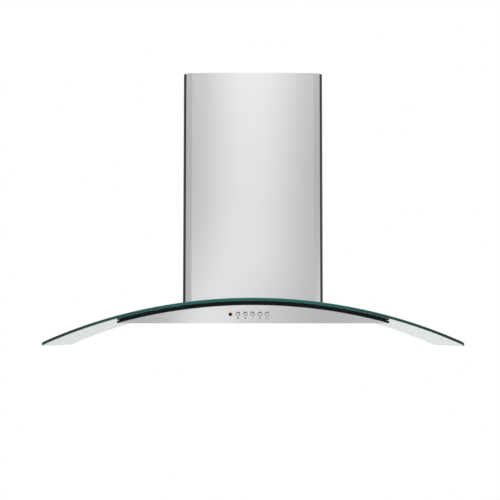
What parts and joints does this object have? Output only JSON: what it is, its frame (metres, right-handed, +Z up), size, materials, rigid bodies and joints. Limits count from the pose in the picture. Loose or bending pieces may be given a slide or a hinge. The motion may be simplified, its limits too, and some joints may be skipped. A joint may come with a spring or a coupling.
{
  "type": "range hood",
  "caption": "Wall-hung range hood with a curved clear glass canopy, a bowed steel fascia with push buttons, hinged grease filters and a telescopic steel chimney around its blower.",
  "frame": {"origin": "centre of the four wall screws, on the wall plane", "axes": "+X to the right seen from the room, +Z up, +Y into the wall"},
  "size_m": [0.9, 0.5, 0.6226],
  "materials": {
    "canopy_glass": "clear tempered glass, green edge",
    "seal_rubber": "matt black",
    "brushed_steel": "fine grain",
    "corner_trim": "dark grey satin",
    "filter_aluminium": "satin",
    "latch_plastic": "moulded",
    "galvanised_steel": "galvanised",
    "lamp_chrome": "polished",
    "frosted_glass": "frosted",
    "ring_black": "gloss black",
    "pilot_red": "translucent red",
    "black_plastic": "moulded",
    "board_green": "lacquered board",
    "blower_grey": "moulded",
    "motor_steel": "plain",
    "bearing_brass": "sintered",
    "box_plastic": "moulded grey",
    "terminal_white": "moulded",
    "capacitor_white": "moulded",
    "zinc_screw": "zinc plated",
    "cable_grey": "smooth sheath",
    "button_chrome": "polished"
  },
  "bodies": {
    "hood": {"body_shell": "brushed_steel", "bottom_pan": "brushed_steel", "button_rings": "ring_black", "cable_gland": "black_plastic", "capacitor_clip": "galvanised_steel", "chimney_front": "brushed_steel", "chimney_side_left": "brushed_steel", "chimney_side_right": "brushed_steel", "control_board": "board_green", "control_cable": "cable_grey", "corner_trim_left": "corner_trim", "corner_trim_right": "corner_trim", "cover_ties": "galvanised_steel", "duct_collar": "black_plastic", "flap_pin": "galvanised_steel", "front_fascia": "brushed_steel", "glass_canopy": "canopy_glass", "glass_clamps": "galvanised_steel", "glass_pads": "seal_rubber", "glass_seal": "seal_rubber", "inlet_ring": "black_plastic", "junction_box": "box_plastic", "junction_cover": "box_plastic", "lamp_bezel_left": "lamp_chrome", "lamp_bezel_right": "lamp_chrome", "lamp_housing_left": "galvanised_steel", "lamp_housing_right": "galvanised_steel", "lamp_lens_left": "frosted_glass", "lamp_lens_right": "frosted_glass", "motor_bearings": "bearing_brass", "motor_box": "galvanised_steel", "motor_housing": "motor_steel", "motor_stator": "motor_steel", "pilot_lamp": "pilot_red", "run_capacitor": "capacitor_white", "scroll_housing": "black_plastic", "slide_pads": "latch_plastic", "small_screws": "zinc_screw", "switch_housing": "black_plastic", "terminal_block": "terminal_white", "wall_bracket": "galvanised_steel"},
    "impeller": {"impeller": "blower_grey", "motor_rotor": "motor_steel"},
    "filter_left": {"filter_frame_left": "filter_aluminium", "filter_mesh_left": "filter_aluminium"},
    "filter_right": {"filter_frame_right": "filter_aluminium", "filter_mesh_right": "filter_aluminium"},
    "latch_left": {"filter_latch_left": "latch_plastic"},
    "latch_right": {"filter_latch_right": "latch_plastic"},
    "flap_front": {"flap_front": "blower_grey"},
    "flap_rear": {"flap_rear": "blower_grey"},
    "telescopic_cover": {"upper_cover": "brushed_steel", "upper_bracket": "galvanised_steel", "upper_screws": "zinc_screw"},
    "button_1": {"button_1": "button_chrome"},
    "button_2": {"button_2": "button_chrome"},
    "button_3": {"button_3": "button_chrome"},
    "button_4": {"button_4": "button_chrome"},
    "button_5": {"button_5": "button_chrome"}
  },
  "joints": [
    {"name": "fan_spin", "type": "hinge", "parent": "hood", "child": "impeller", "pos_m": [0, -0.088, -0.062], "axis": [1, 0, 0], "continuous": true},
    {"name": "filter_swing_left", "type": "hinge", "parent": "hood", "child": "filter_left", "pos_m": [-0.111, -0.038, -0.1889], "axis": [1, 0, 0], "range_deg": [0, 85]},
    {"name": "filter_swing_right", "type": "hinge", "parent": "hood", "child": "filter_right", "pos_m": [0.111, -0.038, -0.1889], "axis": [1, 0, 0], "range_deg": [0, 85]},
    {"name": "latch_slide_left", "type": "slide", "parent": "filter_left", "child": "latch_left", "axis": [0, 1, 0], "range_m": [0, 0.006], "stiffness_N_per_m": 300, "springref_m": -0.002},
    {"name": "latch_slide_right", "type": "slide", "parent": "filter_right", "child": "latch_right", "axis": [0, 1, 0], "range_m": [0, 0.006], "stiffness_N_per_m": 300, "springref_m": -0.002},
    {"name": "flap_swing_front", "type": "hinge", "parent": "hood", "child": "flap_front", "pos_m": [0, -0.15, 0.067], "axis": [-1, 0, 0], "range_deg": [0, 75]},
    {"name": "flap_swing_rear", "type": "hinge", "parent": "hood", "child": "flap_rear", "pos_m": [0, -0.15, 0.067], "axis": [1, 0, 0], "range_deg": [0, 75]},
    {"name": "cover_slide", "type": "slide", "parent": "hood", "child": "telescopic_cover", "axis": [0, 0, 1], "range_m": [0, 0.3]},
    {"name": "button_press_1", "type": "slide", "parent": "hood", "child": "button_1", "axis": [0, 1, 0], "range_m": [0, 0.003], "stiffness_N_per_m": 400, "springref_m": -0.0015},
    {"name": "button_press_2", "type": "slide", "parent": "hood", "child": "button_2", "axis": [0, 1, 0], "range_m": [0, 0.003], "stiffness_N_per_m": 400, "springref_m": -0.0015},
    {"name": "button_press_3", "type": "slide", "parent": "hood", "child": "button_3", "axis": [0, 1, 0], "range_m": [0, 0.003], "stiffness_N_per_m": 400, "springref_m": -0.0015},
    {"name": "button_press_4", "type": "slide", "parent": "hood", "child": "button_4", "axis": [0, 1, 0], "range_m": [0, 0.003], "stiffness_N_per_m": 400, "springref_m": -0.0015},
    {"name": "button_press_5", "type": "slide", "parent": "hood", "child": "button_5", "axis": [0, 1, 0], "range_m": [0, 0.003], "stiffness_N_per_m": 400, "springref_m": -0.0015}
  ]
}
